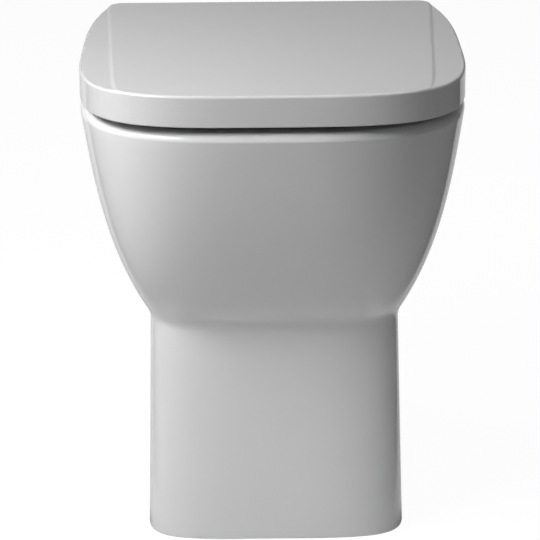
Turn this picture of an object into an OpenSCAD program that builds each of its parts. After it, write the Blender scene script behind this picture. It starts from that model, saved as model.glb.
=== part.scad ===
// Back to wall toilet: a ceramic pan with a shrouded pedestal, a soft-close
// seat ring and a wrap-over lid. Millimetres, +Z up. The origin is on the
// floor under the middle of the toilet; the front faces -Y, the wall is at +Y.
// Depths in the modules are measured from the front edge of the lid.

/* [Overall] */
// Distance from the wall to the front edge of the lid
projection = 500; // [480:5:540]
// Height of the ceramic deck above the floor
pan_h = 415; // [400:5:440]

/* [Pan outside] */
// Width of the ceramic at its widest, under the lid
pan_w = 357; // [345:1:370]
// Ceramic front edge behind the lid's front edge
pan_setback = 1; // [0:1:12]
// Ceramic wall thickness of the skirt
wall_t = 10; // [8:1:13]
// Ceramic thickness of the deck
deck_t = 12; // [10:1:16]
// Radius of the rounded shoulder round the deck
shoulder_r = 8; // [6:1:14]
// How far each side of the deck draws in towards the wall
deck_pull = 21; // [10:1:28]
// Height where the bowl flank meets the pedestal
junction_z = 213; // [200:1:225]
// Radius of the hollow where the flank meets the pedestal
junction_r = 7; // [3:1:10]
// Width of the pedestal at the floor
foot_w = 243; // [230:1:255]
// Width of the pedestal under the bowl flank
waist_w = 233; // [224:1:240]
// Pedestal front at the floor, behind the lid's front edge
foot_front = 87; // [80:1:100]
// Pedestal front under the bowl flank
waist_front = 90; // [84:1:104]
// Fullness of the bowl flank, 0 is a straight taper
flank_bulge = 0.5; // [0.2:0.05:0.7]
// Squareness of the front corners at the deck
deck_square = 3.2; // [2.4:0.1:4]
// Squareness of the front corners at the floor
foot_square = 4.2; // [3:0.1:5]
// Depth at which the sides of the deck stop bulging
deck_reach = 200; // [180:5:230]
// Depth at which the sides of the pedestal become straight
foot_reach = 160; // [150:5:190]

/* [Bowl] */
// Width of the bowl opening
bowl_w = 260; // [240:2:276]
// Length of the bowl opening
bowl_l = 300; // [270:2:310]
// Ceramic between the front of the pan and the bowl opening
rim_front = 44; // [36:1:50]
// Ceramic thickness of the bowl
bowl_t = 10; // [8:1:12]
// Overhang of the rimless edge inside the bowl
rim_lip = 6; // [3:1:9]
// Height of the rimless edge
rim_lip_h = 16; // [14:1:24]
// Height of the sump floor above the floor of the room
sump_z = 78; // [70:2:90]
// Width of the sump floor
sump_w = 70; // [60:2:80]
// Middle of the sump to the wall
sump_back = 245; // [235:1:255]

/* [Trap and outlet] */
// Bore of the trap at the sump
trap_d = 54; // [50:1:56]
// Ceramic thickness of the trap
trap_t = 9; // [7:1:11]
// Bend radius of the trap, on its centre line
trap_bend = 45; // [42:1:50]
// Run of the trap from the middle of the sump to its first bend
trap_run = 15; // [12:1:20]
// Growth of the trap's bore from the sump to the crown
trap_growth = 9; // [6:1:12]
// Height of the weir, which sets the water level
weir_z = 182; // [174:1:190]
// Height of the middle of the outlet
outlet_z = 180; // [172:1:185]
// Outside diameter of the outlet spigot
spigot_d = 102; // [100:1:110]
// Bore of the outlet spigot
spigot_bore = 84; // [80:1:88]
// Length of the straight spigot
spigot_l = 38; // [30:1:45]
// Spigot end to the wall
spigot_gap = 10; // [5:1:20]

/* [Flush inlet] */
// Middle of the flush inlet below the deck
inlet_drop = 70; // [64:1:76]
// Bore of the ceramic flush inlet
inlet_bore = 55; // [50:1:60]
// Ceramic thickness round the flush inlet
inlet_t = 9; // [7:1:11]
// Inlet end to the wall
inlet_gap = 30; // [20:1:40]
// Bore of the rubber seal, for the flush pipe
seal_bore = 44; // [40:1:46]
// Depth of the rubber seal in the inlet
seal_l = 26; // [20:1:30]

/* [Lid] */
// Width of the lid
lid_w = 358; // [345:1:370]
// Length of the lid, front to rear edge
lid_l = 417; // [410:1:422]
// Height of the lid's edge band
lid_h = 28.5; // [27:0.5:32]
// Gap between the deck and the lid's lower edge
lid_gap = 6.5; // [5.5:0.5:8]
// Wall thickness of the lid
lid_t = 5; // [4:0.5:6]
// Rounding of the lid's top edge
lid_edge_r = 2.5; // [2:0.5:6]
// How far each side of the lid draws in towards the rear edge
lid_pull = 17; // [10:1:22]
// How late the sides of the lid draw in, 2 is an even curve
lid_late = 2.8; // [2:0.2:4.2]
// Radius of the rear corners of the lid
lid_corner_r = 12; // [8:1:16]
// Squareness of the lid's front corners
lid_square = 3.8; // [2.6:0.1:4.2]
// Depth at which the lid is widest
lid_reach = 217; // [170:1:230]
// Fall of the wings beside the flat middle panel, per mm of width
wing_fall = 0.03; // [0.02:0.01:0.06]

/* [Seat ring] */
// Thickness of the seat ring
ring_t = 18; // [16:0.5:19]
// Gap between the ring and the lid's skirt
ring_clear = 3; // [2:0.5:5]
// Width of the opening in the ring
ring_open_w = 216; // [200:2:230]
// Length of the opening in the ring
ring_open_l = 272; // [255:2:285]
// Front of the ring to its opening
ring_front = 55; // [50:1:65]
// Rear edge of the ring to the rear edge of the lid
ring_rear = 13; // [11:1:20]
// Diameter of the rubber buffers
buffer_d = 16; // [12:1:20]
// Clearance under each buffer with the seat down
buffer_clear = 0.2; // [0.1:0.1:0.4]

/* [Hinge] */
// Spacing of the two seat bolts
bolt_spread = 155; // [145:1:165]
// Hinge axis behind the lid's rear edge
axis_gap = 14; // [13:0.5:18]
// Hinge axis above the deck
axis_h = 21.5; // [21:0.5:23]
// Diameter of the lugs round the axis
lug_d = 18; // [17:0.5:19]
// Length of each lug along the axis
lug_l = 20; // [18:1:22]
// Length of the pillar head along the axis
pillar_l = 17; // [16:1:19]
// Clearance of the ring's arms under the lid
arm_clear = 1; // [0.6:0.1:2]
// Side clearance between lugs and pillars
side_clear = 0.5; // [0.3:0.1:1]
// Diameter of the hinge pins and damper shafts
pin_d = 6; // [5:0.5:6.5]
// Radial running clearance of the pins
run_clear = 0.05; // [0.03:0.01:0.08]
// Diameter of the damper barrels and bushes
barrel_d = 12; // [11:0.5:13]
// Length of the damper barrels and bushes
barrel_l = 15; // [12:1:16]
// Diameter of the hinge base plates
plate_d = 42; // [36:1:44]
// Thickness of the hinge base plates
plate_t = 4; // [3:0.5:5]
// Thickness of the gaskets under the base plates
gasket_t = 1; // [0.5:0.5:2]

/* [Seat bolts] */
// Thread diameter of the seat bolts
stud_d = 6; // [6:1:8]
// Length of the seat bolts
stud_l = 64; // [58:1:72]
// Diameter of the bolt holes in the deck
bolt_hole_d = 15; // [14:0.5:17]
// Height of the rubber cone plugs under the deck
plug_h = 9; // [7:1:12]
// Height of the wing nut's hub
nut_h = 11; // [9:1:13]

/* [Floor fixing] */
// Height of the side fixing screws
fix_z = 55; // [45:1:65]
// Side fixing screws to the wall
fix_back = 60; // [50:1:80]
// Diameter of the side fixing holes
fix_hole_d = 12; // [10:0.5:14]
// Thread diameter of the side screws
screw_d = 6; // [5:0.5:7]
// Diameter of the cover caps
cap_d = 22; // [20:1:26]
// Length of each floor bracket
bracket_l = 50; // [40:1:60]
// Thickness of each floor bracket
bracket_t = 5; // [4:0.5:6]
// Diameter of the floor screw hole in each bracket
floor_hole_d = 9; // [8:0.5:10]

/* [Hidden] */
front_y = -projection / 2;
ax_y = lid_l + axis_gap;
ax_z = pan_h + axis_h;
bolt_x = bolt_spread / 2;
head_in = bolt_x - pillar_l / 2;    // pillar head, side near the middle
head_out = bolt_x + pillar_l / 2;   // pillar head, outer side
lid_z = pan_h + lid_gap;
lid_top = lid_z + lid_h;
lid_under = lid_top - lid_t;
ring_z = lid_z;
ring_top = ring_z + ring_t;
ring_rear_y = lid_l - ring_rear;
inlet_end = projection - inlet_gap;
spigot_end = projection - spigot_gap;
fix_y = projection - fix_back;
inlet_z = pan_h - inlet_drop;
sump_y = projection - sump_back;
rim_y = pan_setback + rim_front + bowl_l / 2;
under_deck = pan_h - deck_t;
plate_top = pan_h + gasket_t + plate_t;
steps = 14;        // points along each front corner
side_steps = 6;    // points along each side of the lid and the ring
$fn = 72;

ceramic_c = [0.91, 0.91, 0.91];
seat_c = [0.93, 0.93, 0.93];
chrome_c = [0.75, 0.76, 0.78];
steel_c = [0.62, 0.63, 0.65];
rubber_c = [0.16, 0.16, 0.17];
nylon_c = [0.88, 0.88, 0.86];

// ---- Outlines --------------------------------------------------------------

// A closed outline from its right half, which starts on the centre line
function mirrored(h) =
    concat(h, [for (i = [len(h) - 2:-1:1]) [-h[i].x, h[i].y]]);

// Plan of a D-shaped body: a rounded-square front, sides that draw in by
// pull towards the rear edge, the later the higher late is, and rear
// corners of radius r
function body_plan(hw, front, reach, rear, square, pull, r, late = 2, n = steps) =
    let (
        m = r == 0 ? 4 : side_steps,
        turn = [for (i = [0:n]) let (a = 90 * i / n)
            [hw * pow(sin(a), 2 / square), reach - (reach - front) * pow(cos(a), 2 / square)]],
        side = [for (i = [1:m]) let (t = i / m)
            [hw - pull * pow(t, late), reach + (rear - r - reach) * t]],
        corner = r == 0 ? [[hw - pull, rear]] : [for (i = [1:4]) let (a = 90 * i / 4)
            [hw - pull - r + r * cos(a), rear - r + r * sin(a)]],
        edge = [[(hw - pull) / 2, rear], [0, rear]])
    mirrored(concat(turn, r == 0 ? [for (i = [0:2]) side[i]] : side, corner, edge));

// Egg-shaped plan with as many points as body_plan, for openings
function egg_plan(hw, hl, mid, square, n = steps, m = side_steps + 6) =
    mirrored([for (i = [0:n + m])
        let (a = i <= n ? 90 * i / n : 90 + 90 * (i - n) / m,
             s = sign(cos(a)) * pow(abs(cos(a)), 2 / square))
        [hw * pow(abs(sin(a)), 2 / square), mid - hl * s]]);

function at_z(plan, z) = [for (p = plan) [p.x, p.y, z]];

// ---- Skins -----------------------------------------------------------------

function side_faces(n, m) = [for (j = [0:m - 2]) for (i = [0:n - 1])
    let (k = (i + 1) % n)
    each [[j * n + i, (j + 1) * n + k, j * n + k],
          [j * n + i, (j + 1) * n + i, (j + 1) * n + k]]];

// Solid skinned over a stack of rings with equal point counts
module skin(rings) {
    n = len(rings[0]);
    m = len(rings);
    polyhedron(
        points = [for (r = rings) each r],
        faces = concat([[for (i = [0:n - 1]) i]], side_faces(n, m),
            [[for (i = [n - 1:-1:0]) (m - 1) * n + i]]),
        convexity = 8);
}

// Ring-shaped solid: the last ring joins the first
module ring_skin(rings) {
    n = len(rings[0]);
    m = len(rings);
    polyhedron(
        points = [for (r = rings) each r],
        faces = [for (j = [0:m - 1]) for (i = [0:n - 1])
            let (k = (i + 1) % n, u = (j + 1) % m)
            each [[j * n + i, u * n + k, j * n + k], [j * n + i, u * n + i, u * n + k]]],
        convexity = 8);
}

// Cylinder along X from x0 to x1 through y, z
module x_rod(d, x0, x1, y, z)
    translate([min(x0, x1), y, z]) rotate([0, 90, 0]) cylinder(d = d, h = abs(x1 - x0));

// Cylinder along Y from y0 to y1 through x, z
module y_rod(d, y0, y1, x, z)
    translate([x, y0, z]) rotate([-90, 0, 0]) cylinder(d = d, h = y1 - y0);

// Children placed in depth from the lid's front edge
module place() translate([0, front_y, 0]) children();

// Children once on each side of the centre line
module both_sides() {
    children();
    mirror([1, 0, 0]) children();
}

// ---- Pan -------------------------------------------------------------------

// Share of the way from the waist to the deck at height z of the flank
function flank(z) = let (u = (z - junction_z) / (pan_h - shoulder_r - junction_z))
    (1 - flank_bulge) * u + flank_bulge * (1 - pow(1 - u, 3));

function blend(a, b, t) = a + (b - a) * t;

// Outer plan of the flank at height z, moved inwards by inset
function flank_plan(z, inset, rear = projection) = let (t = flank(z))
    body_plan(blend(waist_w, pan_w, t) / 2 - inset,
        blend(waist_front, pan_setback, t) + inset,
        blend(foot_reach, deck_reach, t), rear,
        blend(foot_square, deck_square, t), deck_pull * t, 0);

function foot_plan(z, inset, rear = projection) = let (t = z / junction_z)
    body_plan(blend(foot_w, waist_w, t) / 2 - inset,
        blend(foot_front, waist_front, t) + inset, foot_reach, rear, foot_square, 0, 0);

// Ring of the hollow between pedestal and flank, a share t of the way up it
function hollow_ring(t) = let (
        r = junction_r,
        low = at_z(foot_plan(junction_z - r, 0), junction_z - r),
        mid = at_z(foot_plan(junction_z, 0), junction_z),
        high = at_z(flank_plan(junction_z + r, 0), junction_z + r))
    [for (i = [0:len(low) - 1])
        low[i] * pow(1 - t, 2) + mid[i] * 2 * t * (1 - t) + high[i] * t * t];

module pan_outside() {
    z1 = pan_h - shoulder_r;
    skin(concat(
        [at_z(foot_plan(0, 2), 0), at_z(foot_plan(2, 0), 2)],
        [for (t = [0, 0.25, 0.5, 0.75, 1]) hollow_ring(t)],
        [for (u = [0.1, 0.17, 0.25, 0.34, 0.44, 0.55, 0.68, 0.83, 1])
            let (z = blend(junction_z, z1, u)) at_z(flank_plan(z, 0), z)],
        [for (a = [22.5, 45, 67.5, 90])
            at_z(flank_plan(z1, shoulder_r * (1 - cos(a))), z1 + shoulder_r * sin(a))]));
}

// Space inside the skirt, open to the floor and to the wall
module pan_inside() {
    rear = projection + 1;
    skin(concat(
        [at_z(foot_plan(0, wall_t, rear), -1)],
        [at_z(foot_plan(junction_z, wall_t, rear), junction_z + 2)],
        [for (u = [0.12, 0.28, 0.5, 0.75])
            let (z = blend(junction_z, pan_h - shoulder_r, u)) at_z(flank_plan(z, wall_t, rear), z)],
        [at_z(flank_plan(under_deck - 6, wall_t, rear), under_deck - 6)],
        [at_z(flank_plan(under_deck - 6, wall_t + 4, rear), under_deck)]));
}

// Plan of the bowl at a share t of its depth, grown by extra
function bowl_plan(t, extra) =
    egg_plan(blend(sump_w / 2, bowl_w / 2, cos(90 * t)) + extra,
        blend(sump_w / 2, bowl_l / 2, cos(90 * t)) + extra,
        blend(rim_y, sump_y, sin(90 * t)), 2.4);

function bowl_z(t) = blend(pan_h - rim_lip_h, sump_z, t);

module bowl_outside()
    skin(concat([at_z(bowl_plan(1, bowl_t - 4), sump_z - bowl_t)],
        [for (t = [0.97, 0.88, 0.76, 0.62, 0.48, 0.34, 0.2, 0.08])
            at_z(bowl_plan(t, bowl_t), bowl_z(t) - (t > 0.9 ? 4 : 0))],
        [at_z(bowl_plan(0, bowl_t), under_deck + deck_t / 3)]));

module bowl_inside()
    skin(concat(
        [for (t = [1, 0.985, 0.95, 0.89, 0.8, 0.7, 0.6, 0.49, 0.38, 0.27, 0.16, 0.07, 0])
            at_z(bowl_plan(t, t == 1 ? -8 : 0), bowl_z(t))],
        [at_z(bowl_plan(0, -rim_lip), pan_h - rim_lip_h + 5),
         at_z(bowl_plan(0, -rim_lip), pan_h - 4),
         at_z(bowl_plan(0, -rim_lip + 1.2), pan_h - 1.2),
         at_z(bowl_plan(0, -rim_lip + 4), pan_h),
         at_z(bowl_plan(0, -rim_lip + 5), pan_h + 1)]));

// Trap stations: depth, height, rise angle, bore radius and outer radius
trap_r = trap_d / 2;
spigot_y = spigot_end - spigot_l;
mouth_z = sump_z + trap_r;
crown_r = (trap_d + trap_growth) / 2;
crown_z = weir_z + crown_r;
rise = 60;
bend_y = sump_y + trap_run;
crown_y = bend_y + 2 * trap_bend * sin(rise)
    + (crown_z - mouth_z - 2 * trap_bend * (1 - cos(rise))) / tan(rise);

// Station on the way down from the crown to the spigot
function fall_station(t, drop, angle) =
    [blend(crown_y, spigot_y, t), blend(crown_z, outlet_z, drop), angle,
     blend(crown_r, spigot_bore / 2, t), blend(crown_r + trap_t, spigot_d / 2 - 0.6, t)];

trap_path = [
    [sump_y, mouth_z, 0, trap_r - 1, trap_r + trap_t - 1],
    for (a = [0, 20, 40, rise]) [bend_y + trap_bend * sin(a), mouth_z + trap_bend * (1 - cos(a)),
        a, trap_r, trap_r + trap_t],
    for (a = [rise, 40, 20, 0]) let (r = blend(crown_r, trap_r, a / rise))
        [crown_y - trap_bend * sin(a), crown_z - trap_bend * (1 - cos(a)), a, r, r + trap_t],
    fall_station(0.33, 0.2, -20),
    fall_station(0.63, 0.7, -20),
    [spigot_y - 2, outlet_z, 0, spigot_bore / 2 - 0.6, spigot_d / 2 - 0.6],
    [spigot_y + 8, outlet_z, 0, spigot_bore / 2 - 0.6, spigot_d / 2 - 0.6]];

function trap_ring(s, r, n = 24) = [for (i = [0:n - 1]) let (a = 360 * i / n)
    [-r * cos(a), s.x - r * sin(a) * sin(s.z), s.y + r * sin(a) * cos(s.z)]];

module pan() color(ceramic_c) place() difference() {
    union() {
        difference() {
            pan_outside();
            pan_inside();
        }
        bowl_outside();
        skin([for (i = [1:len(trap_path) - 1]) trap_ring(trap_path[i], trap_path[i][4])]);
        y_rod(spigot_d, spigot_y, spigot_end, 0, outlet_z);
        y_rod(inlet_bore + 2 * inlet_t, rim_y + bowl_l / 2 - 8, inlet_end, 0, inlet_z);
    }
    bowl_inside();
    skin([for (s = trap_path) trap_ring(s, s[3])]);
    y_rod(spigot_bore, spigot_y + 1, spigot_end + 1, 0, outlet_z);
    y_rod(inlet_bore, rim_y + bowl_l / 2 - 30, inlet_end + 1, 0, inlet_z);
    both_sides() {
        translate([bolt_x, ax_y, under_deck - 2]) cylinder(d = bolt_hole_d, h = deck_t + 3);
        x_rod(fix_hole_d, inner_x - 5, skirt_out(cap_d / 2) + 1, fix_y, fix_z);
    }
}

// Cone seal pushed into the flush inlet, with a flange against its end
module inlet_seal() color(rubber_c) place()
    translate([0, inlet_end, inlet_z]) rotate([-90, 0, 0]) rotate_extrude()
        polygon([[seal_bore / 2, -seal_l], [inlet_bore / 2 - 2.2, -seal_l],
            [inlet_bore / 2, -seal_l + 6], [inlet_bore / 2, 0],
            [inlet_bore / 2 + inlet_t - 2, 0], [inlet_bore / 2 + inlet_t - 2, 3],
            [inlet_bore / 2, 6], [seal_bore / 2, 6]]);

// ---- Floor fixing ----------------------------------------------------------

function skirt_x(z) = blend(foot_w, waist_w, z / junction_z) / 2;

fix_top = fix_z + 20;    // top of the brackets
inner_x = min(skirt_x(0), skirt_x(fix_top)) - wall_t - 0.3;    // outer face of the brackets

// Outermost skin of the skirt within r of a side screw
function skirt_out(r) = max(skirt_x(fix_z - r), skirt_x(fix_z + r)) + 0.05;

flange_r = cap_d / 2 - 2.5;
flange_t = 1.8;
flange_x = skirt_out(flange_r);

module floor_brackets() color(nylon_c) place() both_sides() difference() {
    base_w = 46;
    union() {
        translate([inner_x - base_w, fix_y - bracket_l / 2, 0])
            cube([base_w, bracket_l, bracket_t]);
        translate([inner_x - bracket_t, fix_y - bracket_l / 2, 0])
            cube([bracket_t, bracket_l, fix_z]);
        x_rod(bracket_l - 2 * bracket_t, inner_x - bracket_t, inner_x, fix_y, fix_z);
        x_rod(2.8 * screw_d, inner_x - 26, inner_x - 1, fix_y, fix_z);
        for (s = [0, bracket_l - bracket_t])
            translate([inner_x - 1, fix_y - bracket_l / 2 + s + bracket_t, 0])
                rotate([90, 0, 0]) linear_extrude(bracket_t)
                    polygon([[-base_w + 4, 0], [0, 0], [0, fix_z], [-bracket_t, fix_z]]);
    }
    x_rod(screw_d - 0.4, inner_x - 27, inner_x + 1, fix_y, fix_z);
    translate([inner_x - base_w * 0.62, fix_y, -1]) cylinder(d = floor_hole_d, h = bracket_t + 2);
}

module side_screws() color(steel_c) place() both_sides() {
    x0 = flange_x + flange_t + 0.1;
    x_rod(screw_d - 0.4, inner_x - 22, x0 + 1, fix_y, fix_z);
    difference() {
        x_rod(2 * screw_d, x0, x0 + 3.5, fix_y, fix_z);
        translate([x0 + 1.5, fix_y, fix_z]) rotate([0, 90, 0]) cylinder(d = 5, h = 4, $fn = 6);
    }
}

// Plastic sleeve between each screw and the ceramic, with a flange outside
module screw_sleeves() color(nylon_c) place() both_sides() {
    difference() {
        union() {
            x_rod(fix_hole_d - 0.4, inner_x + 0.5, flange_x + 1, fix_y, fix_z);
            x_rod(2 * flange_r, flange_x, flange_x + flange_t, fix_y, fix_z);
        }
        x_rod(screw_d, inner_x, flange_x + 3, fix_y, fix_z);
    }
}

// Cover cap over each side screw, snapped on the sleeve's flange
module side_caps() color(chrome_c) place() both_sides() {
    translate([skirt_out(cap_d / 2), fix_y, fix_z]) rotate([0, 90, 0]) rotate_extrude()
        polygon([[cap_d / 2 - 2.2, 0], [cap_d / 2, 0], [cap_d / 2, 4.5],
            [cap_d / 2 - 0.8, 6.4], [cap_d / 2 - 2.8, 7.4], [0, 8.2], [0, 6.6],
            [cap_d / 2 - 3, 6], [cap_d / 2 - 2.2, 5]]);
}

// ---- Seat ring -------------------------------------------------------------

function lid_plan(inset, rear = lid_l, r = lid_corner_r) =
    body_plan(lid_w / 2 - inset, inset, lid_reach, rear, lid_square, lid_pull, r, lid_late);

// Section of the ring, from its outer edge at 0 to the opening at 1
ring_section = [[0.04, 0], [0.01, 0.1], [0, 0.25], [0, 0.62], [0.025, 0.84], [0.08, 0.97],
    [0.2, 1], [0.42, 0.97], [0.64, 0.87], [0.82, 0.74], [0.94, 0.58], [1, 0.38], [0.99, 0.12],
    [0.94, 0]];

ring_inset = lid_t + ring_clear;
ring_outer = lid_plan(ring_inset, ring_rear_y);
ring_inner = egg_plan(ring_open_w / 2, ring_open_l / 2,
    ring_inset + ring_front + ring_open_l / 2, 2.5);

buffer_front = steps - 5;    // outline points that the buffers stand at
buffer_rear = steps + 4;

// Point of the ring at outline point i, a share t of the way to its opening
function ring_point(i, t) = blend(ring_outer[i], ring_inner[i], t);

module seat_ring() color(seat_c) place() {
    arm_top = lid_under - arm_clear;
    difference() {
        union() {
            ring_skin([for (s = ring_section)
                [for (i = [0:len(ring_outer) - 1]) let (p = ring_point(i, s.x))
                    [p.x, p.y, ring_z + ring_t * s.y]]]);
            both_sides() {
                x0 = head_out + side_clear;
                x_rod(lug_d, x0, x0 + lug_l, ax_y, ax_z);
                translate([x0, ring_rear_y - 18, ax_z - lug_d / 2])
                    cube([lug_l, ax_y - ring_rear_y + 18, arm_top - ax_z + lug_d / 2]);
            }
        }
        both_sides() {
            x0 = head_out + side_clear;
            x_rod(barrel_d, x0 - 1, x0 + barrel_l + 0.5, ax_y, ax_z);
        }
    }
}

module ring_buffers() color(rubber_c) place() both_sides()
    for (i = [buffer_front, buffer_rear])
    translate(concat(ring_point(i, 0.5), pan_h + buffer_clear)) {
        cylinder(d1 = buffer_d - 2, d2 = buffer_d, h = 1.5);
        translate([0, 0, 1.5]) cylinder(d = buffer_d, h = lid_gap - buffer_clear - 1.5);
    }

// ---- Lid -------------------------------------------------------------------

// Lowers the points of a plan's side bulge below the flat middle panel, so
// that each wing falls away from a straight crease between the corners
crease_front = steps - 8;                // outline point where the crease starts
crease_rear = steps + side_steps + 2;    // outline point where it ends
function fall(plan, p) = let (
        a = plan[crease_front], b = plan[crease_rear],
        d = [b.x - a.x, b.y - a.y],
        q = [abs(p.x) - a.x, p.y - a.y])
    wing_fall * max(0, (q.x * d.y - q.y * d.x) / norm(d));

function lid_ring(inset, drop) = let (plan = lid_plan(inset))
    [for (p = plan) [p.x, p.y, lid_top - drop - fall(plan, p)]];

module lid_blank() {
    r = lid_edge_r;
    rings = concat([at_z(lid_plan(1), lid_z), at_z(lid_plan(0), lid_z + 1)],
        [for (a = [0, 22.5, 45, 67.5, 90]) lid_ring(r * (1 - cos(a)), r * (1 - sin(a)))]);
    n = len(rings[0]);
    m = len(rings);
    o = (m - 1) * n;
    f = crease_front;
    b = crease_rear;
    polyhedron(
        points = [for (k = rings) each k],
        faces = concat([[for (i = [0:n - 1]) i]], side_faces(n, m), [
            [for (i = [f:-1:0]) o + i, for (i = [n - 1:-1:n - f]) o + i,
             for (i = [n - b:-1:b]) o + i],
            [for (i = [b:-1:f]) o + i],
            [for (i = [n - f:-1:n - b]) o + i]]),
        convexity = 8);
}

module lid() color(seat_c) place() difference() {
    union() {
        difference() {
            lid_blank();
            skin([at_z(lid_plan(lid_t, lid_l - lid_t), lid_z - 1),
                at_z(lid_plan(lid_t, lid_l - lid_t), lid_under - 3),
                at_z(lid_plan(lid_t + 3, lid_l - lid_t - 3), lid_under)]);
            both_sides() translate([head_out - 2, lid_l - lid_t - 5, lid_z - 1])
                cube([lug_l + 2 * side_clear + 4, lid_t + 6, lid_under - lid_z + 1.5]);
        }
        both_sides() {
            x1 = head_in - side_clear;
            x_rod(lug_d, x1 - lug_l, x1, ax_y, ax_z);
            translate([x1 - lug_l, lid_l - lid_t, ax_z - lug_d / 2])
                cube([lug_l, ax_y - lid_l + lid_t, lug_d]);
        }
    }
    both_sides() {
        x1 = head_in - side_clear;
        x_rod(barrel_d, x1 - barrel_l - 0.5, x1 + 1, ax_y, ax_z);
    }
}

module lid_buffers() color(rubber_c) place() both_sides()
    translate(concat(ring_point(buffer_front, 0.3), ring_top + buffer_clear))
        cylinder(d = buffer_d, h = lid_under - ring_top - buffer_clear);

// ---- Hinge -----------------------------------------------------------------

module hinge_gaskets() color(rubber_c) place() both_sides() translate([bolt_x, ax_y, pan_h])
    difference() {
        cylinder(d = plate_d - 3, h = gasket_t);
        translate([0, 0, -1]) cylinder(d = stud_d + 3, h = gasket_t + 2);
    }

// Round base plate with a slot that lets the seat be set fore and aft
module hinge_plates() color(chrome_c) place() both_sides()
    translate([bolt_x, ax_y, pan_h + gasket_t]) difference() {
        rotate_extrude() polygon([[0, 0], [plate_d / 2, 0], [plate_d / 2, plate_t - 2],
            [plate_d / 2 - 0.6, plate_t - 0.8], [plate_d / 2 - 2, plate_t], [0, plate_t]]);
        for (s = [-3, 3]) translate([0, s, -1]) cylinder(d = stud_d + 0.6, h = plate_t + 2);
        translate([-stud_d / 2 - 0.3, -3, -1]) cube([stud_d + 0.6, 6, plate_t + 2]);
    }

// Pillar with its head round the hinge axis
module hinge_pillars() color(chrome_c) place() both_sides() difference() {
    union() {
        translate([bolt_x, ax_y, plate_top]) cylinder(d = pillar_l, h = ax_z - plate_top);
        x_rod(pillar_l, head_in, head_out, ax_y, ax_z);
    }
    x_rod(pin_d, head_in - 1, head_out + 1, ax_y, ax_z);
    translate([bolt_x, ax_y, plate_top - 1]) cylinder(d = stud_d, h = stud_in + 1);
}

stud_in = 9;                             // stud screwed into the pillar
stud_top = plate_top + stud_in;
plug_r = bolt_hole_d / 2 + 6.5;
nut_top = under_deck - plug_h - 2;       // below the plug and the washer

module hinge_studs() color(steel_c) place() both_sides() translate([bolt_x, ax_y, 0]) {
    translate([0, 0, stud_top - stud_l + 1]) cylinder(d = stud_d, h = stud_l - 1);
    translate([0, 0, stud_top - stud_l]) cylinder(d1 = stud_d - 2, d2 = stud_d, h = 1);
}

// Rubber cone that grips the hole in the deck from below
module cone_plugs() color(rubber_c) place() both_sides()
    translate([bolt_x, ax_y, under_deck - plug_h]) rotate_extrude()
        polygon([[stud_d / 2, 0], [plug_r - 2, 0], [plug_r, 3], [plug_r, plug_h],
            [bolt_hole_d / 2, plug_h], [bolt_hole_d / 2 - 0.5, plug_h + deck_t - 3],
            [stud_d / 2, plug_h + deck_t - 3]]);

module stud_washers() color(steel_c) place() both_sides()
    translate([bolt_x, ax_y, nut_top]) difference() {
        cylinder(r = plug_r - 2, h = 2);
        translate([0, 0, -1]) cylinder(d = stud_d + 0.4, h = 4);
    }

module wing_nuts() color(nylon_c) place() both_sides()
    translate([bolt_x, ax_y, nut_top - nut_h]) difference() {
        union() {
            cylinder(d = 2 * stud_d, h = nut_h);
            for (s = [1, -1]) scale([s, 1, 1]) translate([0, 1.75, 0]) rotate([90, 0, 0])
                linear_extrude(3.5) polygon([[stud_d - 2, nut_h - 2], [stud_d + 9, nut_h - 5],
                    [stud_d + 11, nut_h - 9], [stud_d + 7, -6], [stud_d + 2, -6], [stud_d - 2, 2]]);
        }
        translate([0, 0, -1]) cylinder(d = stud_d, h = nut_h + 2);
    }

// Damper barrel or bush: fills a lug's bore and has its own bore for the pin
module barrel(x0, x1) difference() {
    x_rod(barrel_d, x0, x1, ax_y, ax_z);
    x_rod(pin_d + 2 * run_clear, min(x0, x1) + 1.5, max(x0, x1) + 1, ax_y, ax_z);
}

ring_x = head_out + side_clear;    // open end of the ring lugs
lid_x = head_in - side_clear;      // open end of the lid lugs

module ring_damper() color(steel_c) place()
    mirror([1, 0, 0]) barrel(-ring_x - barrel_l, -ring_x);

module ring_bush() color(nylon_c) place() barrel(-ring_x - barrel_l, -ring_x);

module lid_damper() color(steel_c) place()
    mirror([1, 0, 0]) barrel(lid_x - barrel_l, lid_x);

module lid_bush() color(nylon_c) place() barrel(lid_x - barrel_l, lid_x);

// Shafts reach from the middle of the pillar head into the barrels
module ring_damper_shaft() color(steel_c) place()
    x_rod(pin_d, bolt_x + 0.2, ring_x + barrel_l - 2, ax_y, ax_z);

module ring_pin() color(steel_c) place()
    x_rod(pin_d, -bolt_x - 0.2, -ring_x - barrel_l + 2, ax_y, ax_z);

module lid_damper_shaft() color(steel_c) place()
    x_rod(pin_d, -bolt_x + 0.2, -lid_x + barrel_l - 2, ax_y, ax_z);

module lid_pin() color(steel_c) place()
    x_rod(pin_d, bolt_x - 0.2, lid_x - barrel_l + 2, ax_y, ax_z);

pan();
inlet_seal();
floor_brackets();
side_screws();
screw_sleeves();
side_caps();
hinge_gaskets();
hinge_plates();
hinge_pillars();
hinge_studs();
cone_plugs();
stud_washers();
wing_nuts();
ring_damper_shaft();
lid_damper_shaft();
ring_pin();
lid_pin();
seat_ring();
ring_buffers();
ring_damper();
ring_bush();
lid();
lid_buffers();
lid_damper();
lid_bush();
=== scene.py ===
from math import cos, exp, pi, radians, sin

import bmesh
import bpy
from mathutils import Matrix, Vector


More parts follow.
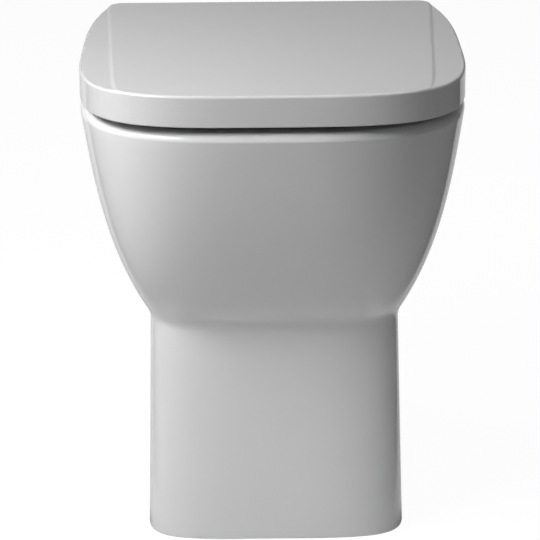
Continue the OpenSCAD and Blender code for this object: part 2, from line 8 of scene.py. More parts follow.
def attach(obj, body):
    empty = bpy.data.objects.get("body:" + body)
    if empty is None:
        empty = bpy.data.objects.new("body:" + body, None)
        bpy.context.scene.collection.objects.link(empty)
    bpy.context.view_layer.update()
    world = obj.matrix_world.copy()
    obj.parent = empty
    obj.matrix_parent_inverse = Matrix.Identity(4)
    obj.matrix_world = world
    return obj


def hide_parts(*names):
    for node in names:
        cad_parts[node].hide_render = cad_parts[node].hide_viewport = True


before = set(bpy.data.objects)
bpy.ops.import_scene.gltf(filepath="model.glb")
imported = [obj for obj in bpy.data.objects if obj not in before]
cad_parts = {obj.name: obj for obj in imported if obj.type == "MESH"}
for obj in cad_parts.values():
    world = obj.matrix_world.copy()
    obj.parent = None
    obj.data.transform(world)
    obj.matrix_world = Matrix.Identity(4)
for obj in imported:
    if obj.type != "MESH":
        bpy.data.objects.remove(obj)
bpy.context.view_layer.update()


# ---- Ceramic pan -------------------------------------------------------------
# One slip-cast piece of white vitreous china: rimless bowl, trap, spigot and
# flush inlet inside a skirt that reaches the wall. Sizes are millimetres, and
# depths run from the front edge of the lid to the wall 500 mm behind it.
WALL_LINE = 500
DECK, DECK_THICK = 415, 12
SHOULDER = 8                # radius of the edge round the deck
JUNCTION, HOLLOW = 213, 7   # height where flank meets pedestal, reach of the hollow there
SKIN = 10
BULGE = 0.5                 # fullness of the flank, 0 is a straight taper
FRONT_STEPS = 36

# Half width, front edge, depth where the sides begin and squareness of the corners.
DECK_HALF, DECK_FRONT, DECK_REACH, DECK_SQUARE = 178.5, 1, 200, 3.2
WAIST_HALF, WAIST_FRONT = 116.5, 90
FOOT_HALF, FOOT_FRONT, FOOT_REACH, FOOT_SQUARE = 121.5, 87, 160, 4.2
DECK_PULL = 21              # how far each side draws in towards the wall
FOOT_ROUND = 2


def place(x, depth, z):
    return Vector((x, depth - WALL_LINE / 2, z)) / 1000


def between(a, b, share):
    return a + (b - a) * share


def quarter(steps=8):
    """The angles that part a right angle into steps, without 0."""
    return [radians(90 * i / steps) for i in range(1, steps + 1)]


def whole(half):
    """A closed outline from its right half, which starts on the centre line."""
    return half + [(-x, y) for x, y in half[-2:0:-1]]


def rounded_square(angle, square):
    """A point of a rounded square of half width 1, in the direction of an angle."""
    reach = (abs(cos(angle)) ** square + abs(sin(angle)) ** square) ** (-1 / square)
    return reach * sin(angle), reach * cos(angle)


def d_outline(half_width, front, reach, rear, square, draw_in, corner=0, late=2, side=12):
    """Plan of a rounded-square front whose sides draw in towards the rear edge."""
    half = []
    for i in range(FRONT_STEPS + 1):
        x, y = rounded_square(radians(90 * i / FRONT_STEPS), square)
        half.append((half_width * x, reach - (reach - front) * y))
    for i in range(1, side + 1):
        share = i / side
        half.append((half_width - draw_in * share ** late,
                     between(reach, rear - corner, share)))
    edge = half_width - draw_in - corner
    if corner:
        half += [(edge + corner * cos(a), rear - corner + corner * sin(a)) for a in quarter()]
    half += [(edge * share, rear) for share in (0.66, 0.33, 0)]
    return whole(half)


def egg_outline(half_width, half_length, middle, square, turn=60):
    half = []
    for i in range(turn + 1):
        x, y = rounded_square(radians(180 * i / turn), square)
        half.append((half_width * x, middle - half_length * y))
    return whole(half)


def level(plan, z):
    return [place(x, y, z) for x, y in plan]


def loft(rings, joined=False):
    """A closed skin over a stack of rings: each is the last one extruded and moved.
    joined makes a hoop, whose last ring meets its first."""
    bm = bmesh.new()
    loop = bmesh.ops.create_circle(bm, segments=len(rings[0]), radius=1)["verts"]
    for vert, co in zip(loop, rings[0]):
        vert.co = co
    start = edges = list(bm.edges)
    for ring in rings[1:]:
        made = bmesh.ops.extrude_edge_only(bm, edges=edges)["geom"]
        fresh = {g for g in made if isinstance(g, bmesh.types.BMVert)}
        edges = [g for g in made if isinstance(g, bmesh.types.BMEdge)
                 and g.verts[0] in fresh and g.verts[1] in fresh]
        loop = [next(e.other_vert(v) for e in v.link_edges if e.other_vert(v) in fresh)
                for v in loop]
        for vert, co in zip(loop, ring):
            vert.co = co
    if joined:
        bmesh.ops.bridge_loops(bm, edges=start + edges)
    else:
        bmesh.ops.holes_fill(bm, edges=start + edges, sides=0)
    bmesh.ops.recalc_face_normals(bm, faces=bm.faces)
    return bm


def lathe(profile, centre, axis):
    """A turned solid: (radius, height) points spun about an axis through centre."""
    bm = bmesh.new()
    verts = [bm.verts.new((r, 0, h)) for r, h in profile]
    edges = [bm.edges.new(pair) for pair in zip(verts, verts[1:] + verts[:1])]
    bmesh.ops.spin(bm, geom=verts + edges, axis=(0, 0, 1), cent=(0, 0, 0), angle=2 * pi,
                   steps=64, use_merge=True)
    bmesh.ops.remove_doubles(bm, verts=bm.verts, dist=1e-4)
    bmesh.ops.dissolve_degenerate(bm, edges=bm.edges, dist=1e-4)
    bmesh.ops.recalc_face_normals(bm, faces=bm.faces)
    turn = Vector((0, 0, 1)).rotation_difference(Vector(axis)).to_matrix().to_4x4()
    move = Matrix.Translation(place(*centre)) @ Matrix.Scale(0.001, 4) @ turn
    bmesh.ops.transform(bm, verts=bm.verts, matrix=move)
    return bm


def rod(diameter, start, end, axis="Y", rim=0):
    """A round bar along an axis, with its end edges rounded by rim."""
    length = (Vector(end) - Vector(start)).length
    r = diameter / 2
    profile = [(0, 0), (r - rim, 0)]
    if rim:
        profile += [(r - rim + rim * sin(a), rim - rim * cos(a)) for a in (pi / 6, pi / 3)]
        profile += [(r, rim), (r, length - rim)]
        profile += [(r - rim + rim * sin(a), length - rim + rim * cos(a))
                    for a in (pi / 3, pi / 6)]
    else:
        profile += [(r, 0), (r, length)]
    profile += [(r - rim, length), (0, length)]
    return lathe(profile, start, {"X": (1, 0, 0), "Y": (0, 1, 0), "Z": (0, 0, 1)}[axis])


def sided(make):
    """The same shape once on each side of the centre line."""
    return [make(1), make(-1)]


def across(side, start, end):
    """A span along X as (low, high) on the right, or its mirror on the left."""
    return (start, end) if side > 0 else (-end, -start)


def solid(name, bm):
    mesh = bpy.data.meshes.new(name)
    bm.to_mesh(mesh)
    bm.free()
    piece = bpy.data.objects.new(name, mesh)
    bpy.context.scene.collection.objects.link(piece)
    return piece


def worked(piece, *jobs):
    """The piece after its boolean jobs, ("UNION" or "DIFFERENCE", shape), in order."""
    for operation, shape in jobs:
        tool = solid(piece.name + "_tool", shape)
        job = piece.modifiers.new(operation, "BOOLEAN")
        job.operation, job.solver, job.object = operation, "MANIFOLD", tool
        bpy.context.view_layer.update()
        done = bpy.data.meshes.new_from_object(
            piece.evaluated_get(bpy.context.evaluated_depsgraph_get()))
        done.materials.clear()    # a cut leaves an empty slot in front of the material
        piece.modifiers.clear()
        piece.data = done
        bpy.data.objects.remove(tool)
    piece.data.name = piece.name
    return piece


def smoothed(piece, crease=30, tidy=0.00002):
    """Merges what the cuts left double and shades the piece smooth up to its creases."""
    bm = bmesh.new()
    bm.from_mesh(piece.data)
    bmesh.ops.remove_doubles(bm, verts=bm.verts, dist=tidy)
    bmesh.ops.dissolve_degenerate(bm, edges=bm.edges, dist=tidy)
    bm.to_mesh(piece.data)
    bm.free()
    piece.data.shade_smooth()
    piece.data.set_sharp_from_angle(angle=radians(crease))
    shade = piece.modifiers.new("shade", "WEIGHTED_NORMAL")
    shade.keep_sharp = True
    shade.weight = 60
    return piece


def fullness(z):
    """Share of the way from the pedestal to the deck that the flank has reached."""
    u = (z - JUNCTION) / (DECK - SHOULDER - JUNCTION)
    return (1 - BULGE) * u + BULGE * (1 - (1 - u) ** 3)


def flank(z, inset=0, rear=WALL_LINE):
    share = fullness(z)
    return d_outline(between(WAIST_HALF, DECK_HALF, share) - inset,
                     between(WAIST_FRONT, DECK_FRONT, share) + inset,
                     between(FOOT_REACH, DECK_REACH, share), rear,
                     between(FOOT_SQUARE, DECK_SQUARE, share), DECK_PULL * share)


def pedestal(z, inset=0, rear=WALL_LINE):
    share = z / JUNCTION
    return d_outline(between(FOOT_HALF, WAIST_HALF, share) - inset,
                     between(FOOT_FRONT, WAIST_FRONT, share) + inset,
                     FOOT_REACH, rear, FOOT_SQUARE, 0)


def outside():
    rings = []
    for a in [0] + quarter(3):
        z, inset = FOOT_ROUND * (1 - cos(a)), FOOT_ROUND * (1 - sin(a))
        rings.append(level(pedestal(z, inset), z))
    rings += [level(pedestal(z), z) for z in (50, 100, 150, 185)]
    low, mid, high = (level(pedestal(JUNCTION - HOLLOW), JUNCTION - HOLLOW),
                      level(pedestal(JUNCTION), JUNCTION),
                      level(flank(JUNCTION + HOLLOW), JUNCTION + HOLLOW))
    for s in (i / 8 for i in range(9)):
        rings.append([a * (1 - s) ** 2 + b * (2 * s * (1 - s)) + c * s ** 2
                      for a, b, c in zip(low, mid, high)])
    top = DECK - SHOULDER
    rings += [level(flank(z), z) for z in
              (between(JUNCTION + HOLLOW, top, (i / 22) ** 1.25) for i in range(1, 23))]
    rings += [level(flank(top, SHOULDER * (1 - cos(a))), top + SHOULDER * sin(a))
              for a in quarter()]
    return loft(rings)


def skirt_room():
    """The space inside the skirt, open to the floor and to the wall."""
    rear, top = WALL_LINE + 2, DECK - DECK_THICK
    rings = [level(pedestal(0, SKIN, rear), -2),
             level(pedestal(JUNCTION, SKIN, rear), JUNCTION + 2)]
    rings += [level(flank(z, SKIN, rear), z) for z in
              (between(JUNCTION, DECK - SHOULDER, share) for share in (0.12, 0.28, 0.5, 0.75))]
    rings += [level(flank(top - 6, SKIN, rear), top - 6),
              level(flank(top - 6, SKIN + 4, rear), top)]
    return loft(rings)


BOWL_TOP, BOWL_THICK, BOWL_SQUARE = DECK - 16, 10, 2.4    # the edge overhangs above the top
BOWL_HALF, BOWL_HALF_LONG, BOWL_DEPTH = 130, 150, 195
SUMP_HALF, SUMP_FLOOR, SUMP_DEPTH = 35, 78, 255


def bowl_plan(down, grow):
    """Plan of the bowl at a share of the way down, as it leans back to the sump."""
    a = pi / 2 * down
    return egg_outline(between(SUMP_HALF, BOWL_HALF, cos(a)) + grow,
                       between(SUMP_HALF, BOWL_HALF_LONG, cos(a)) + grow,
                       between(BOWL_DEPTH, SUMP_DEPTH, sin(a)), BOWL_SQUARE)


def bowl_outside():
    rings = [level(bowl_plan(1, 6), SUMP_FLOOR - BOWL_THICK)]
    for down in (0.97, 0.9, 0.82, 0.72, 0.6, 0.48, 0.36, 0.24, 0.12):
        drop = 4 if down > 0.85 else 0
        rings.append(level(bowl_plan(down, BOWL_THICK), between(BOWL_TOP, SUMP_FLOOR, down) - drop))
    rings.append(level(bowl_plan(0, BOWL_THICK), DECK - DECK_THICK + 4))
    return loft(rings)


def bowl_inside():
    rings = [level(bowl_plan(1, -9), SUMP_FLOOR), level(bowl_plan(1, -4), SUMP_FLOOR + 0.4)]
    rings += [level(bowl_plan(down, 0), between(BOWL_TOP, SUMP_FLOOR, down))
              for down in (0.985, 0.965, 0.94, 0.91, 0.87, 0.82, 0.77, 0.71, 0.65, 0.58, 0.51,
                           0.44, 0.37, 0.3, 0.24, 0.18, 0.12, 0.07, 0.03, 0)]
    lip = [(2.4, 2.2), (4.6, 3.9), (6, 6.5), (6, 11.4),
           (5.4, 13.4), (3.9, 14.9), (2, 15.8), (1, 17)]
    rings += [level(bowl_plan(0, -inset), BOWL_TOP + rise) for inset, rise in lip]
    return loft(rings)


TRAP_THICK, TRAP_BEND, TRAP_LOW, TRAP_END = 9, 45, 105, 450
MOUTH_R, TRAP_R, CROWN_R, SPIGOT_R = 26, 27, 31.5, 41.4
RISE, LEAN = radians(60), radians(19)    # climb to the weir, lean of the fall behind it
WEIR, SPIGOT_Z = 182, 180


def trap(extra, mouth=True):
    """The swept trap: out of the sump, up over the weir and down to the spigot.
    extra is the ceramic outside its bore."""
    first = SUMP_DEPTH + 15
    crown_z = WEIR + CROWN_R
    crown = (first + 2 * TRAP_BEND * sin(RISE)
             + (crown_z - TRAP_LOW - TRAP_BEND) / (sin(RISE) / cos(RISE)))
    climb = [RISE * i / 6 for i in range(7)]
    rows = [(SUMP_DEPTH, TRAP_LOW, 0, MOUTH_R)] if mouth else []
    rows += [(first + TRAP_BEND * sin(a), TRAP_LOW + TRAP_BEND * (1 - cos(a)), a, TRAP_R)
             for a in climb]
    rows += [(crown - TRAP_BEND * sin(a), crown_z - TRAP_BEND * (1 - cos(a)), a,
              between(CROWN_R, TRAP_R, a / RISE)) for a in reversed(climb)]
    for i in range(1, 8):
        share = i / 7
        fall = share * share * (3 - 2 * share)
        rows.append((between(crown, TRAP_END, share), between(crown_z, SPIGOT_Z, fall),
                     -LEAN * sin(pi * share), between(CROWN_R, SPIGOT_R, share)))
    rows.append((TRAP_END + 10, SPIGOT_Z, 0, SPIGOT_R))
    rings = []
    for y, z, tilt, r in rows:
        r += extra
        rings.append([place(-r * cos(a), y - r * sin(a) * sin(tilt), z + r * sin(a) * cos(tilt))
                      for a in (2 * pi * i / 48 for i in range(48))])
    return loft(rings)


SPIGOT_D, SPIGOT_BORE, SPIGOT_START, SPIGOT_END = 102, 84, 452, 490
INLET_D, INLET_BORE, INLET_START, INLET_END, INLET_Z = 73, 55, 337, 470, 345
BOLT_X, BOLT_HOLE = 77.5, 15
AXIS_DEPTH, AXIS_Z = 431, 436.5    # the hinge axis, straight above the seat bolts
FIX_HOLE, FIX_DEPTH, FIX_Z = 12, 440, 55
FIX_SPAN = (100, 124)              # from inside the skirt to past its face


def bolt_hole(side):
    x = side * BOLT_X
    return ("DIFFERENCE", rod(BOLT_HOLE, (x, AXIS_DEPTH, DECK - DECK_THICK - 3),
                              (x, AXIS_DEPTH, DECK + 2), "Z"))


def fix_hole(side):
    low, high = across(side, *FIX_SPAN)
    return ("DIFFERENCE", rod(FIX_HOLE, (low, FIX_DEPTH, FIX_Z), (high, FIX_DEPTH, FIX_Z), "X"))


pan = worked(
    solid("ceramic_pan", outside()),
    ("DIFFERENCE", skirt_room()),
    ("UNION", bowl_outside()),
    ("UNION", trap(TRAP_THICK, mouth=False)),
    ("UNION", rod(SPIGOT_D, (0, SPIGOT_START, SPIGOT_Z), (0, SPIGOT_END, SPIGOT_Z), rim=1.5)),
    ("UNION", rod(INLET_D, (0, INLET_START, INLET_Z), (0, INLET_END, INLET_Z), rim=1.5)),
    ("DIFFERENCE", bowl_inside()),
    ("DIFFERENCE", trap(0)),
    ("DIFFERENCE", rod(SPIGOT_BORE, (0, SPIGOT_START + 1, SPIGOT_Z),
                       (0, SPIGOT_END + 2, SPIGOT_Z))),
    ("DIFFERENCE", rod(INLET_BORE, (0, INLET_START - 22, INLET_Z),
                       (0, INLET_END + 2, INLET_Z))),
    *sided(bolt_hole),
    *sided(fix_hole),
)
smoothed(pan)


class Signal:
    """A shader value that arithmetic can be written with."""

    def __init__(self, finish, socket):
        self.finish, self.socket = finish, socket

    def combined(self, operation, first, second):
        return self.finish.node("Math", {"operation": operation}, {0: first, 1: second})

    def __add__(self, other):
        return self.combined("ADD", self, other)

    def __sub__(self, other):
        return self.combined("SUBTRACT", self, other)

    def __mul__(self, other):
        return self.combined("MULTIPLY", self, other)

    def __radd__(self, other):
        return self.combined("ADD", other, self)

    def __rsub__(self, other):
        return self.combined("SUBTRACT", other, self)

    def __rmul__(self, other):
        return self.combined("MULTIPLY", other, self)

    def __abs__(self):
        return self.finish.node("Math", {"operation": "ABSOLUTE"}, {0: self})

    def or_more(self, other):
        return self.combined("MAXIMUM", self, other)


class Finish:
    """A finish under construction, on a material's or a world's node tree."""

    def __init__(self, owner):
        owner.use_nodes = True
        self.owner, self.tree = owner, owner.node_tree
        self.tree.nodes.clear()

    def node(self, kind, settings=None, values=None, out=0):
        """Adds a node, sets it up, fills or links its sockets, and gives one output."""
        made = self.tree.nodes.new("ShaderNode" + kind)
        for key, value in (settings or {}).items():
            setattr(made, key, value)
        for key, value in (values or {}).items():
            if isinstance(value, Signal):
                self.tree.links.new(value.socket, made.inputs[key])
            else:
                made.inputs[key].default_value = value
        return Signal(self, made.outputs[out])

    def noise(self, scale, detail=3, roughness=0.5, spread=(1, 1, 1)):
        """Fine grain, from 0 to 1, in features of about 1/scale metres."""
        where = self.node("Mapping", {}, {"Vector": self.node("TexCoord", out="Object"),
                                          "Scale": spread})
        return self.node("TexNoise", {}, {"Vector": where, "Scale": scale, "Detail": detail,
                                          "Roughness": roughness})

    def sideways_and_back(self, coordinates):
        """The x and y of the object's place, or of the direction of a ray."""
        where = self.node("TexCoord", out=coordinates)
        return (self.node("SeparateXYZ", {}, {0: where}, out=k) for k in (0, 1))

    def tint(self, share, low, high):
        """A colour that goes from low to high with a share from 0 to 1."""
        return self.node("Mix", {"data_type": "RGBA"},
                         {0: share, 6: (*low, 1), 7: (*high, 1)}, out=2)

    def bump(self, height, distance, strength=1.0):
        return self.node("Bump", {}, {"Height": height, "Distance": distance,
                                      "Strength": strength})

    def surface(self, values):
        return self.close(self.node("BsdfPrincipled", {}, values))

    def close(self, shader, kind="OutputMaterial"):
        end = self.tree.nodes.new("ShaderNode" + kind)
        self.tree.links.new(shader.socket, end.inputs["Surface"])
        return self.owner


def finish(name):
    return Finish(bpy.data.materials.new(name))


def glaze():
    """Fired glaze: deep gloss over a faint ripple, with the odd duller patch."""
    f = finish("white_glaze")
    patch = f.noise(9, 2)
    ripple = f.noise(38, 2, 0.4)
    pores = f.noise(900, 1)
    return f.surface({
        "Base Color": f.tint(patch, (0.81, 0.811, 0.813), (0.865, 0.865, 0.864)),
        "Roughness": 0.025 + 0.03 * patch + 0.015 * pores,
        "IOR": 1.5,
        "Normal": f.bump(ripple, 0.00012),
    })


pan.data.materials.append(glaze())
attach(pan, "base")
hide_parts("pan")


# ---- Seat ring ---------------------------------------------------------------
# A thick moulded ring of white duroplast under the lid, crowned on top and
# flat below. Two arms reach back from it to lugs that turn on the hinge axis.
LID_LOW, LID_HIGH, LID_SKIN = 421.5, 450, 5
LID_HALF, LID_REACH, LID_REAR, LID_SQUARE = 178.5, 217, 417, 3.8
LID_PULL, LID_CORNER = 16.5, 12
RING_THICK, RING_REAR, RING_WIDE = 18, 404, 55
RING_INSET = LID_SKIN + 3
OPENING_HALF, OPENING_HALF_LONG, OPENING_SQUARE = 108, 136, 2.5
HEAD_IN, HEAD_OUT = BOLT_X - 8.5, BOLT_X + 8.5    # the faces of a pillar's head
LUG, LUG_LONG, BARREL, BARREL_LONG = 18, 20, 12, 15
CLEAR = 0.5                                       # beside a head or a barrel
ARM_START, ARM_TOP = 386, 444


def lid_plan(inset, rear=LID_REAR):
    return d_outline(LID_HALF - inset, inset, LID_REACH, rear, LID_SQUARE, LID_PULL,
                     LID_CORNER, late=2.8, side=18)


def eased(points, parts=3):
    """A closed curve through the points, with parts steps between each two."""
    curve = []
    for i in range(len(points)):
        a, b, c, d = (Vector(points[(i + k) % len(points)]) for k in (-1, 0, 1, 2))
        for t in (j / parts for j in range(parts)):
            curve.append(b + ((c - a) * t + (2 * a - 5 * b + 4 * c - d) * t ** 2
                              + (3 * b - a - 3 * c + d) * t ** 3) / 2)
    return curve


def hoop():
    """The ring's section, as shares of its width and height, led round its plan."""
    section = [(0.04, 0), (0.01, 0.1), (0, 0.25), (0, 0.62), (0.025, 0.84), (0.08, 0.97),
               (0.2, 1), (0.42, 0.97), (0.64, 0.87), (0.82, 0.74), (0.94, 0.58), (1, 0.38),
               (0.99, 0.12), (0.94, 0), (0.5, 0)]
    outer = lid_plan(RING_INSET, RING_REAR)
    inner = egg_outline(OPENING_HALF, OPENING_HALF_LONG,
                        RING_INSET + RING_WIDE + OPENING_HALF_LONG, OPENING_SQUARE,
                        turn=len(outer) // 2)
    rings = []
    for share, high in eased(section):
        rings.append([place(between(a[0], b[0], share), between(a[1], b[1], share),
                            LID_LOW + RING_THICK * max(0, min(high, 1)))
                      for a, b in zip(outer, inner)])
    return loft(rings, joined=True)


def block(low, high, bevel=0.0, along=None):
    """A rectangular block with rounded edges, or only those along one axis."""
    bm = bmesh.new()
    made = bmesh.ops.create_cube(bm, size=1)["verts"]
    size = [b - a for a, b in zip(low, high)]
    bmesh.ops.scale(bm, verts=made, vec=Vector(size) / 1000)
    middle = place(*[(a + b) / 2 for a, b in zip(low, high)])
    bmesh.ops.translate(bm, verts=made, vec=middle)
    if bevel:
        edges = [e for e in bm.edges if along is None
                 or abs((e.verts[0].co - e.verts[1].co)[along]) > 1e-5]
        bmesh.ops.bevel(bm, geom=edges, offset=bevel / 1000, offset_type="OFFSET",
                        affect="EDGES", segments=3, profile=0.5, material=-1,
                        clamp_overlap=True)
    return bm


def on_axis(diameter, span, rim=0):
    """A bar on the hinge axis over a span along X."""
    low, high = span
    return rod(diameter, (low, AXIS_DEPTH, AXIS_Z), (high, AXIS_DEPTH, AXIS_Z), "X", rim)


def ring_lug_span(side):
    return across(side, HEAD_OUT + CLEAR, HEAD_OUT + CLEAR + LUG_LONG)


def ring_arm(side):
    low, high = ring_lug_span(side)
    return ("UNION", block((low, ARM_START, AXIS_Z - LUG / 2), (high, AXIS_DEPTH, ARM_TOP),
                           1.5, along=1))


def ring_lug(side):
    return ("UNION", on_axis(LUG, ring_lug_span(side), 0.8))


def ring_bore(side):
    span = across(side, HEAD_OUT - CLEAR, HEAD_OUT + CLEAR + BARREL_LONG + CLEAR)
    return ("DIFFERENCE", on_axis(BARREL, span))


ring = worked(solid("seat_hoop", hoop()), *sided(ring_arm), *sided(ring_lug), *sided(ring_bore))
smoothed(ring)


def duroplast():
    """Polished moulded plastic, a touch softer in its gloss than the glaze."""
    f = finish("white_duroplast")
    drift = f.noise(14, 2)
    skin = f.noise(420, 2)
    return f.surface({
        "Base Color": f.tint(drift, (0.72, 0.721, 0.722), (0.74, 0.74, 0.74)),
        "Roughness": 0.04 + 0.03 * drift + 0.015 * skin,
        "IOR": 1.5,
        "Normal": f.bump(skin, 0.000006),
    })


white_duroplast = duroplast()
ring.data.materials.append(white_duroplast)
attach(ring, "ring")
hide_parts("seat_ring")


# ---- Lid ---------------------------------------------------------------------
# A wrap-over lid of the same duroplast. Its flat middle panel ends on each side
# in a soft step down to a wing, which curls in and fades at the front and runs
# out to the rounded edge.
EDGE_ROUND = 2.5
PANEL_FRONT, PANEL_REAR = (140.5, 30), (160, 405)    # the panel's right edge, x and depth
STEP_WIDE, STEP_LOW, WING_FALL = 4, 0.9, 0.012
STEP_START, STEP_GROWS = 10, 40                      # depth, and length of the growth
STEP_CURL, CURL_LONG = 14, 23
BAND_LOW, BAND_HIGH = 12, 4                          # below the top: no fall, full fall


def eased_share(share):
    share = max(0, min(share, 1))
    return share * share * (3 - 2 * share)


def lid_blank():
    rings = [level(lid_plan(1), LID_LOW), level(lid_plan(0.3), LID_LOW + 0.3),
             level(lid_plan(0), LID_LOW + 1)]
    rings += [level(lid_plan(EDGE_ROUND * (1 - cos(a))), LID_HIGH - EDGE_ROUND * (1 - sin(a)))
              for a in [0] + quarter()]
    bm = loft(rings)

    def cut(point, normal):
        bmesh.ops.bisect_plane(bm, geom=bm.verts[:] + bm.edges[:] + bm.faces[:],
                               plane_co=point, plane_no=normal)

    for depth in [6 + 5 * i for i in range(20)] + [120, 160, 200, 250, 300, 350, 390]:
        cut(place(0, depth, 0), Vector((0, 1, 0)))
    for side in (1, -1):
        near, far = (place(side * x, depth, LID_HIGH) for x, depth in (PANEL_FRONT, PANEL_REAR))
        way = (far - near).normalized()
        out = Vector((way.y, -way.x, 0)) * side
        for i in range(-16, 10):
            cut(near + out * 0.0008 * i, out)
        for vert in bm.verts:
            depth = vert.co.y * 1000 + WALL_LINE / 2
            beyond = (vert.co - near).dot(out) * 1000 + STEP_CURL * exp(-depth / CURL_LONG)
            if beyond > 0:
                fall = (STEP_LOW * eased_share(beyond / STEP_WIDE)
                        + WING_FALL * max(beyond - STEP_WIDE, 0))
                height = vert.co.z * 1000 - (LID_HIGH - BAND_LOW)
                vert.co.z -= (fall / 1000 * eased_share((depth - STEP_START) / STEP_GROWS)
                              * max(0, min(height / (BAND_LOW - BAND_HIGH), 1)))
    return bm


def lid_room():
    """The hollow under the lid's top, rounded where it meets the skin."""
    under = LID_HIGH - LID_SKIN
    return loft([level(lid_plan(LID_SKIN, LID_REAR - 5), LID_LOW - 2),
                 level(lid_plan(LID_SKIN, LID_REAR - 5), under - 3),
                 level(lid_plan(LID_SKIN + 0.9, LID_REAR - 5.9), under - 0.9),
                 level(lid_plan(LID_SKIN + 3, LID_REAR - 8), under)])


def arm_notch(side):
    low, high = across(side, HEAD_OUT - 2, HEAD_OUT + LUG_LONG + 3)
    return ("DIFFERENCE", block((low, LID_REAR - 10, LID_LOW - 1),
                                (high, LID_REAR + 1, ARM_TOP + 1.5)))


def lid_lug_span(side):
    return across(side, HEAD_IN - CLEAR - LUG_LONG, HEAD_IN - CLEAR)


def lid_arm(side):
    low, high = lid_lug_span(side)
    return ("UNION", block((low, LID_REAR - 4.9, AXIS_Z - LUG / 2),
                           (high, AXIS_DEPTH, AXIS_Z + LUG / 2), 1, along=1))


def lid_lug(side):
    return ("UNION", on_axis(LUG, lid_lug_span(side), 0.8))


def lid_bore(side):
    span = across(side, HEAD_IN - CLEAR - BARREL_LONG - CLEAR, HEAD_IN + CLEAR)
    return ("DIFFERENCE", on_axis(BARREL, span))


lid = worked(solid("lid_shell", lid_blank()), ("DIFFERENCE", lid_room()), *sided(arm_notch),
             *sided(lid_arm), *sided(lid_lug), *sided(lid_bore))
smoothed(lid, crease=24)
lid.data.materials.append(white_duroplast)
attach(lid, "cover")
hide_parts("lid")


# ---- Rubber pieces -----------------------------------------------------------
# Black rubber: buffers under the ring and the lid, gaskets and cone plugs on
# the seat bolts, and the cone seal pushed into the flush inlet.
def dress(material, *names):
    for name in names:
        for place_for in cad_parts[name].material_slots:
            place_for.material = material


def rubber():
    f = finish("black_rubber")
    grain = f.noise(1400, 3, 0.6)
    bloom = f.noise(60, 3)
    return f.surface({
        "Base Color": f.tint(bloom, (0.018, 0.018, 0.019), (0.034, 0.034, 0.035)),
        "Roughness": 0.58 + 0.16 * bloom,
        "Normal": f.bump(grain, 0.00002, 0.6),
    })


dress(rubber(), "ring_buffers", "lid_buffers", "hinge_gaskets", "cone_plugs", "inlet_seal")


# ---- Plated hinge ------------------------------------------------------------
# Zinc castings with a bright chrome plate: the round base plates and pillars
# of the seat hinge, and the caps over the side screws.
def chrome():
    f = finish("bright_chrome")
    haze = f.noise(30, 3)
    polish = f.noise(700, 2, 0.6, spread=(1, 1, 8))
    return f.surface({
        "Base Color": f.tint(haze, (0.76, 0.77, 0.79), (0.83, 0.84, 0.85)),
        "Metallic": 1.0,
        "Roughness": 0.05 + 0.07 * haze * polish,
        "Normal": f.bump(polish, 0.000004, 0.5),
    })


dress(chrome(), "hinge_plates", "hinge_pillars", "side_caps")


# ---- Steel bolts and pins ----------------------------------------------------
# Zinc-plated and drawn steel: bolts, washers, side screws, hinge pins, and the
# damper cartridges with their shafts.
def steel():
    f = finish("drawn_steel")
    drawn = f.noise(260, 4, 0.6, spread=(1, 9, 9))
    stain = f.noise(45, 3)
    return f.surface({
        "Base Color": f.tint(stain, (0.5, 0.51, 0.53), (0.62, 0.63, 0.64)),
        "Metallic": 1.0,
        "Roughness": 0.24 + 0.14 * drawn,
        "Normal": f.bump(drawn, 0.00002, 0.4),
    })


dress(steel(), "side_screws", "hinge_studs", "stud_washers", "ring_damper_shaft",
      "lid_damper_shaft", "ring_pin", "lid_pin", "ring_damper", "lid_damper")


# ---- Nylon fittings ----------------------------------------------------------
# Off-white injection-moulded nylon with a fine spark-eroded texture: floor
# brackets, screw sleeves, wing nuts and the plain bushes of the hinge.
def nylon():
    f = finish("moulded_nylon")
    spark = f.noise(1100, 3, 0.6)
    flow = f.noise(35, 2)
    return f.surface({
        "Base Color": f.tint(flow, (0.66, 0.66, 0.64), (0.72, 0.72, 0.7)),
        "Roughness": 0.38 + 0.14 * spark,
        "Normal": f.bump(spark, 0.00002, 0.5),
    })


dress(nylon(), "floor_brackets", "screw_sleeves", "wing_nuts", "ring_bush", "lid_bush")


# ---- Floor -------------------------------------------------------------------
# A plain pale studio floor, in metres. The camera sees it white with a soft
# shadow, and the gloss sees it white only between two dark screens.
FLOOR_HALF, FLOOR_DROP = 6.0, 0.0005
GLOW_SHARE, GLOW = 0.88, 1.09                  # the rest is paint, which takes the shadow
FLOOR_IN_GLOSS = 0.62
SCREEN_SLOPE, SCREEN_SOFT, SCREEN_GREY = 0.57, 0.03, 0.08
OBJECT_HALF = 0.17

bm = bmesh.new()
bmesh.ops.create_grid(bm, x_segments=2, y_segments=2, size=FLOOR_HALF)
bmesh.ops.translate(bm, verts=bm.verts, vec=(0, 0, -FLOOR_DROP))
floor = solid("studio_floor", bm)


def shown_white(f, aside, behind):
    """Whether a ray is the camera's own, whether it is a mirrored one, and how much of
    the white a mirrored one finds, aside from the middle and behind the toilet."""
    straight, mirrored, through = (f.node("LightPath", out=name) for name in
                                   ("Is Camera Ray", "Is Glossy Ray", "Is Transmission Ray"))
    open_way = f.node("MapRange", {"interpolation_type": "SMOOTHSTEP"},
                      {0: SCREEN_SLOPE * behind - abs(aside), 1: -SCREEN_SOFT, 2: SCREEN_SOFT,
                       3: SCREEN_GREY, 4: 1.0})
    return straight.or_more(through), mirrored, open_way


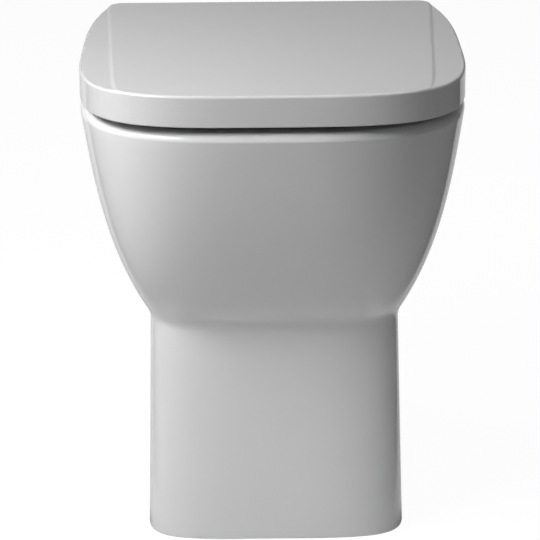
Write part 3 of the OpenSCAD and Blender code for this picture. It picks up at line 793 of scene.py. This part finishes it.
def floor_paint():
    f = finish("floor_paint")
    mottle = f.noise(3, 3)
    paint = f.node("BsdfDiffuse", {},
                   {"Color": f.tint(mottle, (0.69, 0.69, 0.69), (0.72, 0.72, 0.72))})
    x, y = f.sideways_and_back("Object")
    plain, mirrored, open_way = shown_white(f, abs(x) - OBJECT_HALF, y + OBJECT_HALF)
    glow = f.node("Emission", {}, {"Color": (1, 1, 1, 1),
                                   "Strength": plain * GLOW + FLOOR_IN_GLOSS * mirrored * open_way})
    share = (plain * GLOW_SHARE).or_more(mirrored)
    return f.close(f.node("MixShader", {}, {0: share, 1: paint, 2: glow}))


floor.data.materials.append(floor_paint())


# ---- Light -------------------------------------------------------------------
# A soft box near the front left, weaker ones above, in front, at the right and
# behind, a narrow one on the pedestal and a small lamp for sparks at the right.
# The room around is white to the camera and has the same screens in the gloss.
ROOM_IN_GLOSS, AMBIENT = 0.2, 0.01


def lamp(name, azimuth, elevation, wide, high, power, distance=3, aim=(0, -0.1, 0.3),
         spread=180):
    """A rectangle of light in watts. Azimuth 0 is the front and 90 the left."""
    light = bpy.data.lights.new(name, "AREA")
    light.shape, light.size, light.size_y, light.energy = "RECTANGLE", wide, high, power
    light.spread = radians(spread)
    a, e = radians(azimuth), radians(elevation)
    away = Vector((-sin(a) * cos(e), -cos(a) * cos(e), sin(e)))
    holder = bpy.data.objects.new(name, light)
    holder.location = Vector(aim) + away * distance
    holder.rotation_euler = away.to_track_quat("Z", "Y").to_euler()
    bpy.context.scene.collection.objects.link(holder)


lamp("key_box", 58, 43, 0.8, 0.34, 13, distance=1.15)
lamp("top_box", -85, 68, 0.8, 0.8, 5, distance=2)
lamp("front_box", 0, 26, 1.0, 1.0, 2.2)
lamp("foot_box", -5, 18, 0.3, 0.2, 0.035, distance=1.6, aim=(0, -0.16, 0.06), spread=20)
lamp("right_box", -95, 35, 1.0, 1.0, 2.2)
lamp("right_lamp", -69, 39, 0.2, 0.12, 0.8, aim=(0.122, -0.227, 0.41))
lamp("rear_box", 140, 48, 1.2, 1.2, 14)

world = bpy.data.worlds.new("studio_room")
bpy.context.scene.world = world


def room():
    f = Finish(world)
    x, y = f.sideways_and_back("Generated")
    plain, mirrored, open_way = shown_white(f, x, y)
    strength = plain + (1 - plain) * (ROOM_IN_GLOSS * mirrored * open_way
                                      + (1 - mirrored) * AMBIENT)
    sky = f.node("Background", {}, {"Color": (1, 1, 1, 1), "Strength": strength})
    f.close(sky, "OutputWorld")


room()


# ---- Camera ------------------------------------------------------------------
# Eye level above the lid and well back, looking down a little, as the
# photograph was taken. Degrees, and a long lens in millimetres.
LOOK_DOWN, LOOK_ASIDE, ROLL = 16.64, -0.42, -0.46
eye = bpy.data.objects.new("camera", bpy.data.cameras.new("camera"))
eye.location = (-0.022, -2.727, 1.032)
eye.rotation_euler = (Matrix.Rotation(radians(LOOK_ASIDE), 3, "Z")
                      @ Matrix.Rotation(radians(90 - LOOK_DOWN), 3, "X")
                      @ Matrix.Rotation(radians(ROLL), 3, "Z")).to_euler()
eye.data.lens, eye.data.sensor_width = 194, 36
eye.data.shift_x, eye.data.shift_y = -0.0018, 0.0001
bpy.context.scene.collection.objects.link(eye)
bpy.context.scene.camera = eye
bpy.context.scene.view_settings.view_transform = "Standard"
